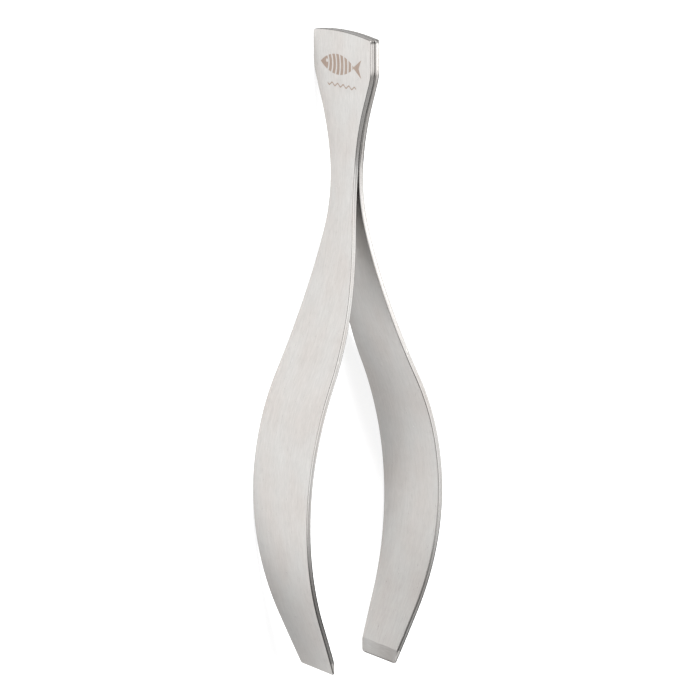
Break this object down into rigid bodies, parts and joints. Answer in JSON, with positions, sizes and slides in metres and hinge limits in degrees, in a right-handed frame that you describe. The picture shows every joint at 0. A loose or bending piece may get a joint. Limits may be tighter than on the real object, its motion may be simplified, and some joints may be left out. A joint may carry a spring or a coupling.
{
  "type": "wide-tip tweezers",
  "caption": "Wide-tip spring tweezers: pressed steel leaves joined at a flared head, with narrow flexing necks, bowed arms and ground flat jaws, for gripping thin or small things.",
  "frame": {"origin": "bottom centre of the bounding box, on the surface that the tweezers lie on", "axes": "lying on their side: +X from the head to the tips, +Y across the opening towards the rear leaf, +Z across the width of the leaves, upwards"},
  "size_m": [0.145, 0.0368, 0.0225],
  "materials": {
    "leaf_steel": "brushed along the leaf",
    "weld_steel": "fused, dull"
  },
  "bodies": {
    "head": {"front_leaf_head": "leaf_steel", "rear_leaf_head": "leaf_steel", "weld_nuggets": "weld_steel"},
    "front_arm": {"front_leaf_arm": "leaf_steel"},
    "rear_arm": {"rear_leaf_arm": "leaf_steel"}
  },
  "joints": [
    {"name": "front_arm_flex", "type": "hinge", "parent": "head", "child": "front_arm", "pos_m": [-0.02239, -0.00213, 0.01125], "axis": [0, 0, 1], "range_deg": [0, 4.9], "stiffness_Nm_per_rad": 9.6},
    {"name": "rear_arm_flex", "type": "hinge", "parent": "head", "child": "rear_arm", "pos_m": [-0.02239, 0.00213, 0.01125], "axis": [0, 0, -1], "range_deg": [0, 4.9], "stiffness_Nm_per_rad": 9.6}
  ]
}
